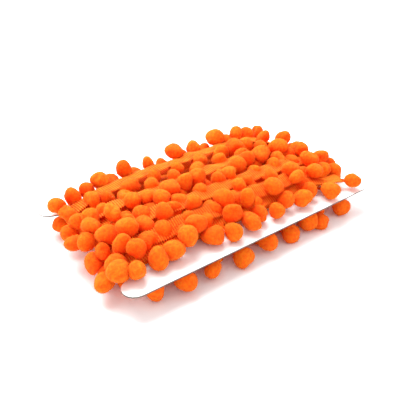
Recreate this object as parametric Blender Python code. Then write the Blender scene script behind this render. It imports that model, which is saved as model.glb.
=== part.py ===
# Pompom fringe trim wound lengthwise round a flat notched card that lies face up.
# Metres, +Z up, +X along the card, origin at the bottom centre of the whole thing.

import math

import bmesh
import bpy
import numpy as np
from mathutils import Matrix, Vector

MM = 0.001

# The card: a flat sheet with a notch in each short end that the trim winds over
CARD_LENGTH = 173.8 * MM
CARD_WIDTH = 102.9 * MM
CARD_THICK = 0.8 * MM
CARD_RISE = 13.4 * MM  # underside of the card above the surface it lies on
NOTCH_HALF = 34.4 * MM  # half the width of a notch at its bottom
NOTCH_DEPTH = 13.3 * MM
NOTCH_FLARE = 0.449  # how much a notch widens for each unit of depth
NOTCH_FILLET = 2.5 * MM
EAR_RADIUS = 6.75 * MM
ARC_STEPS = 7
CARD_GAP = 0.3 * MM  # room left all round the card

# The trim: a ribbed tape with a pompom every pitch along one edge
TAPE_WIDTH = 9.4 * MM
TAPE_THICK = 1.1 * MM
POM_RADIUS = 5.15 * MM
POM_PITCH = 17.6 * MM
STALK = 1.6 * MM  # loose loop between the tape's edge and the pompom
INNER_ROOT = (0.97, 0.96, 0.9)  # draws the roots of the inner turns into the packed winding
ROOT_DEPTH = 2.0 * MM  # how far in from the tape's edge a pompom is held
ROOT_SINK = 0.8 * MM  # how far under the tape
LEAN_SPREAD = 16.0  # degrees
UNDER_LEAN = 8.0  # how far the pompoms stand off the lower face, degrees
SWING = 1.6 * MM  # how far a pompom swings along the tape
POM_ROOM = 0.1 * MM  # left between two pompoms, and between a pompom and the tape
PRESSED = 0.16 * MM  # how much a pompom gives where its neighbours press it
POM_LEAST = 3.6 * MM  # radius of the most pressed pompom
FLOOR_SHARE = 0.9  # height of the lowest pompoms' middles, in radii
HEAP = 14.2 * MM  # height of the highest pompoms' middles over the card
SEED = 11

# The winding: one row for each turn, from the first, on the near side, to the last.
# left, mid, right: place across the card on its upper face, at its two ends and middle (mm)
# under: place across at the middle of the lower face (mm)
# top, below: distance of the tape from the card on the two faces (mm)
# ends: how far the tape passes outside the notch (mm)
# tilt: how much the upper run tips towards the near side (degrees)
# side: the edge with the pompoms, -1 near and 1 far; lean: how far they stand up (degrees)
# first: place along the card of the first pompom on the upper face (mm)
TURN_COLUMNS = ("left", "mid", "right", "under", "top", "below", "ends", "tilt", "side", "lean", "first")
TURN_ROWS = (
    (-29.0, -30.0, -29.0, -25.0, 3.4, 2.0, 0.8, 8.0, -1, 0.0, -68.0),
    (-21.0, -20.5, -20.0, -16.0, 1.2, 2.0, 0.9, 0.0, -1, 20.0, -61.0),
    (-11.0, -9.0, -10.0, -6.0, 4.2, 2.0, 1.0, 8.0, -1, 40.0, -55.0),
    (-2.0, 0.5, -1.0, 4.0, 1.6, 2.1, 1.0, 0.0, -1, 25.0, -64.0),
    (8.0, 11.0, 9.0, 13.0, 4.4, 2.2, 1.1, 8.0, -1, 45.0, -58.0),
    (17.0, 24.0, 20.0, 22.0, 3.6, 2.3, 1.2, 6.0, -1, 50.0, -66.0),
    (26.0, 31.0, 28.0, 31.0, 2.2, 5.0, 1.4, 0.0, 1, 5.0, -60.0),
    (27.5, 29.0, 27.0, 24.0, 12.6, 7.5, 3.2, -3.0, 1, 8.0, -51.0),
    (26.0, 31.5, 26.0, 15.0, 7.6, 8.0, 3.0, 6.0, -1, 40.0, -60.0),
    (14.0, 8.0, 7.5, 4.0, 13.0, 8.5, 3.4, -4.0, -1, 20.0, -62.0),
    (5.0, 7.0, 3.0, -6.0, 7.9, 13.9, 3.0, 6.0, -1, 34.0, -52.0),
    (-4.0, -13.5, -12.0, -16.0, 13.0, 8.5, 3.4, 12.0, -1, 14.0, -61.0),
    (-13.0, -15.5, -17.5, -27.0, 7.9, 7.5, 3.0, 14.0, -1, 20.0, -53.0),
    (-22.0, -28.0, -23.0, -37.5, 11.4, 6.0, 3.2, 30.0, -1, -8.0, -64.0),
    (-29.0, -31.5, -29.5, -38.0, 7.0, 6.0, 2.6, 26.0, -1, -26.0, -57.0),
)
# The loose end, from inside the winding to its tip (along, across, up from the card's middle, mm)
LOOSE_END_ROWS = (
    (50.0, -30.0, 6.0),
    (60.0, -32.5, 6.5),
    (68.0, -36.0, 4.5),
    (75.0, -40.0, 2.2),
)
LAST_ROOT = (-1.5, -2.0, 0.0)  # from the tip to the root and the middle of its pompom
LAST_POM = (1.5, -7.0, 3.4)
INNER_TURNS = 7  # the turns that lie on the card, under the others
RAISED_TURNS = (7, 9, 11, 13)  # the turns that lie highest, each over or beside a lower one
RIDGE_TURNS = (*RAISED_TURNS, 14)  # the turns that stand out as ridges of the wound form
LAST_STRETCH = 0.46  # share of the last turn that is left when the trim ends
LOOP_POWER = 3.0  # squareness of a turn seen from the side
CONTROLS = 4  # places in each turn where the table sets the path

# Detail of the solids
FINE_STEPS = 2000  # steps of each turn when its length is measured
PATH_SPACING = 2.0 * MM
PATH_STEP = 0.002  # turns, half the stretch that gives the path's direction
TILT_RISE = 3.0 * MM  # height over which a run takes its tilt
UPPER_RUN = (0.02, 0.48)  # shares of a turn between which it lies on the upper face
BODY_STATIONS = 30
RIDGE_BLEND = 0.06  # share of a turn over which the ridges pass round the far end
RIDGE_SHARE = 0.86  # half the width of a ridge, as a share of the tape's
RIDGE_ROOM = 0.44  # or as a share of the way to the next ridge, where that is less
VALLEY_SHARE = 0.22  # depth of the groove between two ridges, as a share of the way between them
RIM_DRAW = (0.97, 1.0, 0.45)  # draws the rims of the wound form in towards the card
RIM_OUT = 0.8 * MM
LOOSE_END_STEPS = 5
TAPE_SHARES = (-0.42, 0.0, 0.42)  # lines along the tape that the pompoms keep off, in tape widths
SETTLE_ROUNDS = 90
POM_PUSH = 0.6  # shares of an overlap that each round takes away
TAPE_PUSH = 0.5
SHORT_LEASH = 0.7  # nearest and farthest a pompom's middle may be from its root, in radii
LONG_LEASH = POM_RADIUS + 2 * STALK
BURIED = 0.6 * MM  # a pompom with its middle deeper than this under the outer turns doesn't show
BESIDE = 3.5 * MM  # how far past the outermost turn the winding no longer covers a pompom
ROOT_DRAW = (0.95, 1.0, 0.6)  # draws the roots that are built into the wound form
POM_SWELL = 1.12  # a ball of few faces is made larger, so that it has the real one's size
STALK_SHARES = (0.0, 0.25, 0.5, 0.75, 1.0)  # balls along a pompom's stalk, where it may touch another


def turn_values(name):
    column = TURN_COLUMNS.index(name)
    return np.array([row[column] for row in TURN_ROWS], float)


def smooth_through(places, values, at):
    """Values at the given places, on a smooth curve (monotone cubic) through the known ones."""
    span = np.diff(places)
    rise = np.diff(values) / span
    slope = np.zeros(len(values))
    same = rise[:-1] * rise[1:] > 0
    slope[1:-1][same] = 2 * rise[:-1][same] * rise[1:][same] / (rise[:-1][same] + rise[1:][same])
    slope[0], slope[-1] = rise[0], rise[-1]
    k = np.clip(np.searchsorted(places, at, side="right") - 1, 0, len(span) - 1)
    u = (at - places[k]) / span[k]
    u = np.clip(u, 0, 1)
    h00 = 2 * u**3 - 3 * u**2 + 1
    h10 = u**3 - 2 * u**2 + u
    h01 = -2 * u**3 + 3 * u**2
    h11 = u**3 - u**2
    return h00 * values[k] + h10 * span[k] * slope[k] + h01 * values[k + 1] + h11 * span[k] * slope[k + 1]


def centre_at(t):
    """Middle of the tape at t turns: a squared loop round the card that drifts across it."""
    turns = np.arange(len(TURN_ROWS), dtype=float)
    quarter = 1 / CONTROLS
    places = np.stack([turns + quarter * i for i in range(CONTROLS)], 1).ravel()
    across_rows = np.stack([turn_values(n) for n in ("left", "mid", "right", "under")], 1)
    across = smooth_through(places, across_rows.ravel(), t) * MM
    high_rows = np.stack([turn_values("top"), turn_values("below")], 1).ravel()
    high_places = np.stack([turns + quarter, turns + 3 * quarter], 1).ravel()
    height = smooth_through(high_places, high_rows, t) * MM + CARD_THICK / 2
    reach = smooth_through(turns, turn_values("ends"), t) * MM
    angle = math.pi - 2 * math.pi * t
    cos, sin = np.cos(angle), np.sin(angle)
    half = CARD_LENGTH / 2 - NOTCH_DEPTH + reach
    x = half * np.sign(cos) * np.abs(cos) ** (2 / LOOP_POWER)
    z = height * np.sign(sin) * np.abs(sin) ** (2 / LOOP_POWER)
    return np.stack([x, across, z], 1)


def unit(ways):
    return ways / np.linalg.norm(ways, axis=1)[:, None]


def path_at(t):
    """Middle of the tape, its way across to the far side, its outward direction and its way along."""
    centre = centre_at(t)
    along = unit(centre_at(t + PATH_STEP) - centre_at(t - PATH_STEP))
    turns = np.arange(len(TURN_ROWS), dtype=float)
    high_places = np.stack([turns + 1 / CONTROLS, turns + 3 / CONTROLS], 1).ravel()
    tilt_rows = np.stack([turn_values("tilt"), 0 * turns], 1).ravel()
    tilt = np.radians(smooth_through(high_places, tilt_rows, t))
    flat = unit(along * np.array([1, 0, 1]))
    outward = np.stack([-flat[:, 2], 0 * t, flat[:, 0]], 1)
    across_way = unit(np.cross(outward, along))
    tilt = (tilt * np.clip(centre[:, 2] / TILT_RISE, 0, 1))[:, None]
    far_way = np.cos(tilt) * across_way + np.sin(tilt) * outward
    facing = unit(np.cross(along, far_way))
    return centre, far_way, facing, along


def whole_path():
    """The whole tape at even steps of its length."""
    fine = np.arange(0, len(TURN_ROWS) - 1 + LAST_STRETCH, 1 / FINE_STEPS)
    steps = np.linalg.norm(np.diff(centre_at(fine), axis=0), axis=1)
    measured = np.concatenate([[0], np.cumsum(steps)])
    length = np.arange(0, measured[-1], PATH_SPACING)
    t = np.interp(length, measured, fine)
    return t, *path_at(t), length


def card_outline(grow):
    """Points of the card's outline, anticlockwise, moved outwards by grow."""
    half_long = CARD_LENGTH / 2
    half_wide = CARD_WIDTH / 2
    lean = math.atan(NOTCH_FLARE)
    radius = EAR_RADIUS + grow
    tip = Vector((half_long - EAR_RADIUS, half_wide - EAR_RADIUS))
    bottom_x = half_long - NOTCH_DEPTH + grow
    corner_y = NOTCH_HALF - grow * math.cos(lean)
    fillet = max(NOTCH_FILLET - grow, 0.5 * MM)
    turn = math.pi / 2 + lean
    back = fillet * math.tan((math.pi - turn) / 2 * 0.9)
    quarter = []
    for i in range(3):
        share = i / 2
        down = (1 - share) ** 2 * back
        out = share**2 * back
        quarter.append(Vector((bottom_x + out * math.cos(lean), corner_y - down + out * math.sin(lean))))
    for i in range(ARC_STEPS + 1):
        angle = -math.pi / 2 + lean + (math.pi - lean) * i / ARC_STEPS
        quarter.append(tip + radius * Vector((math.cos(angle), math.sin(angle))))
    ring = [Vector((p.x, p.y)) for p in quarter]
    ring += [Vector((-p.x, p.y)) for p in reversed(quarter)]
    ring += [Vector((-p.x, -p.y)) for p in quarter]
    ring += [Vector((p.x, -p.y)) for p in reversed(quarter)]
    return ring


def flat_curve(name, outline, thick, middle_z):
    data = bpy.data.curves.new(name, "CURVE")
    data.dimensions = "2D"
    data.fill_mode = "BOTH"
    data.extrude = thick / 2
    line = data.splines.new("POLY")
    line.points.add(len(outline) - 1)
    for point, place in zip(line.points, outline):
        point.co = (place.x, place.y, 0, 1)
    line.use_cyclic_u = True
    piece = bpy.data.objects.new(name, data)
    piece.location.z = middle_z
    return piece


def as_mesh(piece, collection):
    """The same shape as a closed mesh object in the same place."""
    graph = bpy.context.evaluated_depsgraph_get()
    mesh = bpy.data.meshes.new_from_object(piece.evaluated_get(graph))
    work = bmesh.new()
    work.from_mesh(mesh)
    bmesh.ops.remove_doubles(work, verts=work.verts, dist=1e-6)
    work.to_mesh(mesh)
    work.free()
    name = piece.name
    place = piece.matrix_world.copy()
    bpy.data.objects.remove(piece)
    made = bpy.data.objects.new(name, mesh)
    made.matrix_world = place
    collection.objects.link(made)
    return made


def material(name, colour, roughness):
    made = bpy.data.materials.new(name)
    made.use_nodes = True
    shader = made.node_tree.nodes["Principled BSDF"]
    shader.inputs["Base Color"].default_value = (*colour, 1)
    shader.inputs["Roughness"].default_value = roughness
    shader.inputs["Metallic"].default_value = 0
    return made


def mesh_object(name, work, collection):
    mesh = bpy.data.meshes.new(name)
    bmesh.ops.recalc_face_normals(work, faces=work.faces)
    work.to_mesh(mesh)
    work.free()
    made = bpy.data.objects.new(name, mesh)
    collection.objects.link(made)
    return made


def pom_places(path):
    """Root of each pompom on the tape's edge, its middle before the winding settles, and its turn."""
    t, centre, far_way, facing, along, length = path
    starts = []
    for turn, first in enumerate(turn_values("first") * MM):
        upper = (t >= turn + UPPER_RUN[0]) & (t <= turn + UPPER_RUN[1])
        starts.append(np.interp(first, centre[upper, 0], length[upper]))
    starts.append(length[-1])
    spots, turn_of = [], []
    for turn in range(len(TURN_ROWS)):
        count = round((starts[turn + 1] - starts[turn]) / POM_PITCH)
        spots.append(np.linspace(starts[turn], starts[turn + 1], count, endpoint=False))
        turn_of.append(np.full(count, turn))
    turn_of = np.concatenate(turn_of)
    k = np.searchsorted(length, np.concatenate(spots))
    chance = np.random.default_rng(SEED).uniform(-1, 1, (len(k), 2))
    lean = np.where(centre[k, 2] < 0, UNDER_LEAN, turn_values("lean")[turn_of])
    rise = np.radians(lean + LEAN_SPREAD * chance[:, 0])[:, None]
    way = turn_values("side")[turn_of][:, None] * far_way[k]
    push = np.cos(rise) * way + np.sin(rise) * facing[k]
    edge = centre[k] + way * TAPE_WIDTH / 2
    roots = edge - way * ROOT_DEPTH - facing[k] * ROOT_SINK
    middles = edge + push * (STALK + POM_RADIUS) + SWING * chance[:, 1:] * along[k]
    inner = turn_of < INNER_TURNS
    roots[inner] = roots[inner] * np.array(INNER_ROOT)
    tip = np.array(LOOSE_END_ROWS[-1]) * MM
    roots = np.vstack([roots, tip + np.array(LAST_ROOT) * MM])
    middles = np.vstack([middles, tip + np.array(LAST_POM) * MM])
    return roots, middles


def card_boxes():
    """Lowest and highest corner of the card between its notches, and of each of its four ears."""
    notch_x = CARD_LENGTH / 2 - NOTCH_DEPTH
    high = np.array([notch_x, CARD_WIDTH / 2, CARD_THICK / 2])
    boxes = [(-high, high)]
    for end in (-1, 1):
        for side in (-1, 1):
            x = sorted((end * notch_x, end * CARD_LENGTH / 2))
            y = sorted((side * NOTCH_HALF, side * CARD_WIDTH / 2))
            low = np.array([x[0], y[0], -CARD_THICK / 2])
            boxes.append((low, np.array([x[1], y[1], CARD_THICK / 2])))
    return boxes


def keep_off_box(points, low, high, room):
    """Moves each point out of the box until it is at least room from it."""
    nearest = np.clip(points, low, high)
    away = points - nearest
    inside = np.linalg.norm(away, axis=1) < 1e-9
    away[inside] = np.where(points[inside, 2:3] >= 0, 1, -1) * np.array([0, 0, 1e-9])
    distance = np.linalg.norm(away, axis=1)
    short = distance < room
    points[short] = nearest[short] + away[short] * (room / distance[short])[:, None]
    return points


def settle(roots, middles, tape_points):
    """Lets the pompoms push each other, the tape and the card away until each has its own room."""
    points = middles.copy()
    floor = -(CARD_RISE + CARD_THICK / 2) + FLOOR_SHARE * POM_RADIUS
    ceiling = CARD_THICK / 2 + HEAP
    for _ in range(SETTLE_ROUNDS):
        between = points[:, None] - points[None]
        distance = np.linalg.norm(between, axis=2)
        np.fill_diagonal(distance, 1)
        press = np.clip(2 * POM_RADIUS + POM_ROOM - distance, 0, None) / 2
        points += POM_PUSH * (between / distance[..., None] * press[..., None]).sum(1)
        between = points[:, None] - tape_points[None]
        distance = np.linalg.norm(between, axis=2)
        nearest = np.argmin(distance, axis=1)
        every = np.arange(len(points))
        gap = distance[every, nearest]
        press = np.clip(POM_RADIUS + POM_ROOM - gap, 0, None) / np.maximum(gap, 1e-6)
        points += TAPE_PUSH * between[every, nearest] * press[:, None]
        leash = points - roots
        far = np.linalg.norm(leash, axis=1)
        held = np.clip(far, SHORT_LEASH * POM_RADIUS, LONG_LEASH + ROOT_DEPTH)
        points = roots + leash * (held / far)[:, None]
        for low, high in card_boxes():
            points = keep_off_box(points, low, high, POM_SWELL * POM_RADIUS + CARD_GAP)
        points[:, 2] = np.clip(points[:, 2], floor, ceiling)
    return points


def pom_radii(points):
    """Each pompom's own radius: the full one, or less where its neighbours press it."""
    distance = np.linalg.norm(points[:, None] - points[None], axis=2)
    np.fill_diagonal(distance, 1)
    return np.clip(distance.min(1) / 2 - PRESSED, POM_LEAST, POM_RADIUS)


def tape_lines(path):
    """Points along the tape's middle and near its two edges."""
    centre, far_way = path[1][::2], path[2][::2]
    return np.concatenate([centre + far_way * TAPE_WIDTH * share for share in TAPE_SHARES])


def shown(points):
    """Which pompoms reach out of the lower ones of the outer turns, and so show."""
    reach = CARD_LENGTH / 2 - NOTCH_DEPTH + turn_values("ends")[INNER_TURNS:].mean() * MM
    share = np.clip(np.abs(points[:, 0]) / reach, 0, 1)
    squared = (1 - share**LOOP_POWER) ** (1 / LOOP_POWER)
    outer_turns = range(INNER_TURNS, len(TURN_ROWS))
    upper_turns = [turn for turn in outer_turns if turn not in RAISED_TURNS]
    lower_turns = [turn - 1 for turn in outer_turns]
    shows = np.zeros(len(points), bool)
    for face, turns, across, height in ((1, upper_turns, "mid", "top"), (-1, lower_turns, "under", "below")):
        places = turn_values(across)[turns] * MM
        heights = turn_values(height)[turns] * MM
        order = np.argsort(places)
        level = squared * np.interp(points[:, 1], places[order], heights[order])
        beside = (points[:, 1] < places.min() - BESIDE) | (points[:, 1] > places.max() + BESIDE)
        out = beside | (face * points[:, 2] > level - BURIED)
        shows |= out & (face * points[:, 2] > 0)
    return shows


def clear_of_card(roots, points):
    """Which pompoms don't hang through the card from their roots."""
    crossing = roots[:, 2] * points[:, 2] < 0
    share = roots[:, 2] / np.where(crossing, roots[:, 2] - points[:, 2], 1)
    place = roots + (points - roots) * share[:, None]
    inside = np.zeros(len(points), bool)
    for low, high in card_boxes():
        inside |= ((place >= low) & (place <= high)).all(1)
    return ~(crossing & inside)


def ridge_places(stations):
    """Places in turns at the stations: a column for each ridge of the packed winding."""
    upper = np.array(RIDGE_TURNS)[None] + stations[:, None]
    share = np.clip((stations - 0.5 + RIDGE_BLEND) / (2 * RIDGE_BLEND), 0, 1)[:, None]
    share = share * share * (3 - 2 * share)
    return upper, share


def ridge_frames(stations):
    """Middle, way across and outward direction of each ridge at each station round the loop."""
    upper, share = ridge_places(stations)
    lower = upper - 1
    found = []
    for places in (upper, lower):
        frames = path_at(places.ravel())[:3]
        found.append([frame.reshape(*places.shape, 3) for frame in frames])
    blended = [a * (1 - share[..., None]) + b * share[..., None] for a, b in zip(*found)]
    for way in blended[1:]:
        way /= np.linalg.norm(way, axis=2)[..., None]
    return blended


def body(collection):
    """The wound form: a flat loop round the card whose outer turns stand out as ridges."""
    stations = (np.arange(BODY_STATIONS) + 0.5) / BODY_STATIONS
    middle, far_way, facing = ridge_frames(stations)
    top = middle + TAPE_THICK / 2 * facing
    count = middle.shape[1]
    reach = np.full((BODY_STATIONS, count + 1), RIDGE_SHARE * TAPE_WIDTH / 2)
    spacing = np.linalg.norm(np.diff(middle, axis=1), axis=2)
    reach[:, 1:-1] = np.minimum(reach[:, 1:-1], RIDGE_ROOM * spacing)
    columns = []
    for ridge in range(count):
        columns.append(top[:, ridge] + reach[:, ridge, None] * far_way[:, ridge])
        columns.append(top[:, ridge] - reach[:, ridge + 1, None] * far_way[:, ridge])
        if ridge < count - 1:
            valley = (middle[:, ridge] + middle[:, ridge + 1]) / 2
            out = facing[:, ridge] + facing[:, ridge + 1]
            depth = VALLEY_SHARE * spacing[:, ridge, None]
            columns.append(valley - depth * out / np.linalg.norm(out, axis=1)[:, None])
    rims = []
    for edge, way in ((columns[0], 1), (columns[-1], -1)):
        rim = edge * np.array(RIM_DRAW)
        rim[:, 1] += way * RIM_OUT
        rims.append(rim)
    columns = [rims[0], *columns, rims[1]]
    floor = -(CARD_RISE + CARD_THICK / 2)
    work = bmesh.new()
    grid = []
    for column in columns:
        grid.append([work.verts.new((x, y, max(z, floor))) for x, y, z in column])
    for near, far in zip(grid, grid[1:]):
        for i in range(BODY_STATIONS):
            after = (i + 1) % BODY_STATIONS
            work.faces.new((near[i], near[after], far[after], far[i]))
    for rim in (grid[0], grid[-1]):
        for i in range(BODY_STATIONS // 2 - 1):
            mirror = BODY_STATIONS - 1 - i
            work.faces.new((rim[i], rim[i + 1], rim[mirror - 1], rim[mirror]))
    return mesh_object("wound_trim", work, collection)


def loose_end(collection):
    """The last stretch of tape, which leaves the winding and ends over the card's near corner."""
    t = np.linspace(0, 1, len(LOOSE_END_ROWS))
    fine = np.linspace(0, 1, LOOSE_END_STEPS + 1)
    rows = np.array(LOOSE_END_ROWS) * MM
    centre = np.stack([smooth_through(t, rows[:, i], fine) for i in range(3)], 1)
    along = np.gradient(centre, axis=0)
    along /= np.linalg.norm(along, axis=1)[:, None]
    far_way = np.cross(np.array([0, 0, 1.0]), along)
    far_way /= np.linalg.norm(far_way, axis=1)[:, None]
    facing = np.cross(along, far_way)
    work = bmesh.new()
    rings = []
    for place, wide, up in zip(centre, far_way, facing):
        ring = []
        for a, b in ((-1, -1), (1, -1), (1, 1), (-1, 1)):
            corner = place + wide * a * TAPE_WIDTH / 2 + up * b * TAPE_THICK / 2
            ring.append(work.verts.new(corner))
        rings.append(ring)
    for before, after in zip(rings, rings[1:]):
        for i in range(4):
            j = (i + 1) % 4
            work.faces.new((before[i], before[j], after[j], after[i]))
    work.faces.new(rings[0])
    work.faces.new(rings[-1])
    return mesh_object("loose_end", work, collection)


def group_numbers(roots, points, radii):
    """A group for each pompom, so that no two in one group touch, from balls along their stalks."""
    count = len(points)
    touching = np.zeros((count, count), bool)
    for a in STALK_SHARES:
        for b in STALK_SHARES:
            between = (roots + a * (points - roots))[:, None] - (roots + b * (points - roots))[None]
            reach = POM_SWELL * (a * radii[:, None] + b * radii[None]) + CARD_GAP
            touching |= np.linalg.norm(between, axis=2) < reach
    numbers = np.full(count, -1)
    for k in range(count):
        taken = set(numbers[touching[k]])
        numbers[k] = next(i for i in range(count) if i not in taken)
    return numbers


def pompoms(name, roots, points, radii, floor, collection):
    """Each pompom as a ball of few faces, drawn out to its root on the tape."""
    work = bmesh.new()
    for root, middle, radius in zip(roots, points, radii):
        way = Vector(root - middle)
        turn = way.to_track_quat("Z", "Y").to_matrix().to_4x4()
        place = Matrix.Translation(Vector(middle)) @ turn
        made = bmesh.ops.create_icosphere(work, subdivisions=1, radius=radius * POM_SWELL, matrix=place)
        tip = min(made["verts"], key=lambda v: (v.co - Vector(root)).length)
        tip.co = Vector(root)
        for vert in made["verts"]:
            vert.co.z = max(vert.co.z, floor)
    return mesh_object(name, work, collection)


def bounds(pieces):
    """Lowest and highest corner of the finished pieces together."""
    graph = bpy.context.evaluated_depsgraph_get()
    meshes = [piece.evaluated_get(graph).to_mesh() for piece in pieces]
    places = np.array([vert.co[:] for mesh in meshes for vert in mesh.vertices])
    return Vector(places.min(0)), Vector(places.max(0))


def build():
    for old in list(bpy.data.objects):
        bpy.data.objects.remove(old)
    scene = bpy.context.scene
    parts = bpy.data.collections.new("pompom_fringe_trim")
    cutters = bpy.data.collections.new("cutters")
    joined = bpy.data.collections.new("joined_pieces")
    for collection in (parts, cutters, joined):
        scene.collection.children.link(collection)

    card = flat_curve("card", card_outline(0), CARD_THICK, 0)
    parts.objects.link(card)
    card.data.materials.append(material("white_card", (0.93, 0.92, 0.90), 0.6))

    room = flat_curve("card_room", card_outline(CARD_GAP), CARD_THICK + 2 * CARD_GAP, 0)
    cutters.objects.link(room)
    room = as_mesh(room, cutters)

    path = whole_path()
    roots, middles = pom_places(path)
    points = settle(roots, middles, tape_lines(path))
    radii = pom_radii(points)
    keep = shown(points) & clear_of_card(roots, points)
    floor = -(CARD_RISE + CARD_THICK / 2)
    trim = body(parts)
    roots, points, radii = roots[keep] * np.array(ROOT_DRAW), points[keep], radii[keep]
    numbers = group_numbers(roots, points, radii)
    for number in range(numbers.max() + 1):
        group = numbers == number
        pompoms(f"pompoms_{number}", roots[group], points[group], radii[group], floor, joined)
    loose_end(joined)

    # The exact solver loses the wound form here, so the joins and the cut use the manifold one
    for operand in (*joined.objects, room):
        step = trim.modifiers.new(operand.name, "BOOLEAN")
        step.operation = "DIFFERENCE" if operand == room else "UNION"
        step.object = operand
        step.solver = "MANIFOLD"
    trim.data.materials.append(material("orange_trim", (0.95, 0.22, 0.02), 0.9))
    trim.data.shade_smooth()
    trim.data.set_sharp_from_angle(angle=math.radians(40))
    for helper in list(cutters.objects) + list(joined.objects):
        helper.hide_render = True
        helper.display_type = "WIRE"

    low, high = bounds((card, trim))
    shift = Vector((-(low.x + high.x) / 2, -(low.y + high.y) / 2, -floor))
    for piece in (card, trim, room, *joined.objects):
        piece.location += shift


build()
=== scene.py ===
# Orange pompom fringe trim wound lengthwise round a flat white notched card that lies face up.
# Metres, +Z up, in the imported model's frame; the winding is worked out about the card's middle.
import math

import bpy
import numpy as np
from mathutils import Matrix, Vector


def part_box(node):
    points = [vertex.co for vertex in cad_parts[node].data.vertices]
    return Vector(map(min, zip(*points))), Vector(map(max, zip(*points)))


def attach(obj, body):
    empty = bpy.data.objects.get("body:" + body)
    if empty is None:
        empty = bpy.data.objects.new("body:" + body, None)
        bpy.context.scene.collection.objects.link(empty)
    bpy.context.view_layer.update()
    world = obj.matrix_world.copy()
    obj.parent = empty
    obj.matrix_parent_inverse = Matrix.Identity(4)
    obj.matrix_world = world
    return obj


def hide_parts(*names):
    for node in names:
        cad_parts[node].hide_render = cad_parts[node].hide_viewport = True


mm = 0.001
hair = 1e-9  # metres, too small to matter

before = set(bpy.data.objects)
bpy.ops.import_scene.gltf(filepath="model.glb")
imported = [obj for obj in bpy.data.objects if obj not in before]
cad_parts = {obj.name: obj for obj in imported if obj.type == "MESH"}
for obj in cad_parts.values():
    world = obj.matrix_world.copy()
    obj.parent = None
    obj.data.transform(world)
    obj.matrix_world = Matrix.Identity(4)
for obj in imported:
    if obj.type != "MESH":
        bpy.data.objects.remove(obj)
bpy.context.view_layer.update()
cardLow, cardHigh = (np.array(corner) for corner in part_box("card"))
cardMiddle = (cardLow + cardHigh) / 2
print("frame loaded")

card = {
    "length": 173.8 * mm,
    "width": 102.9 * mm,
    "thick": 0.8 * mm,
    "rise": 13.4 * mm,  # its underside over the surface
    "notchHalf": 34.4 * mm,  # half the width of a notch at its bottom
    "notchDepth": 13.3 * mm,
    "gap": 0.3 * mm,  # left between it and a pompom
}

tape = {
    "width": 9.4 * mm,
    "thick": 1.1 * mm,
    "flatWidth": 10.0 * mm,  # with its picots
    "ribPitch": 1.35 * mm,
    "ribSamples": 4,
    "ribGroove": 0.8,  # depth of a groove, as a share of half the thickness
    "picot": 0.09,  # how far each rib stands out at the edges, as a share of half the width
    "profile": (-0.78, -0.3, 0.3, 0.78),  # where the profile has points, in half widths
    "edgeThick": 0.6,  # thickness at the outer points of the profile
    "edgeFrom": 0.5,  # which lie farther out than this, in half widths
    "coarseStep": 4.0 * mm,  # between the rings of the inner turns, where no rib shows
    "fineFrom": 6.45,  # turns
    "freeAfter": 20.0 * mm,  # over this length the waves below grow to their full size
    "overFloor": 0.55,  # its middle stays this far over the surface, in thicknesses
    "wobble": ((41.0, 0.35, 1.0), (17.3, 0.18, 2.1)),  # wavelength mm, sideways mm, phase
    "lift": ((23.0, 0.22, 0.4), (11.7, 0.12, 1.9)),  # wavelength mm, height mm, phase
    "twist": ((29.0, 5.0, 0.0), (13.1, 3.0, 2.6)),  # wavelength mm, degrees, phase
    "leaveBefore": 8.0 * mm,  # the tape turns off towards its loose end this far before it
    "shadeReach": 3.0 * mm,  # how far from a pompom the painted shade on the tape reaches
}

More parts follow.
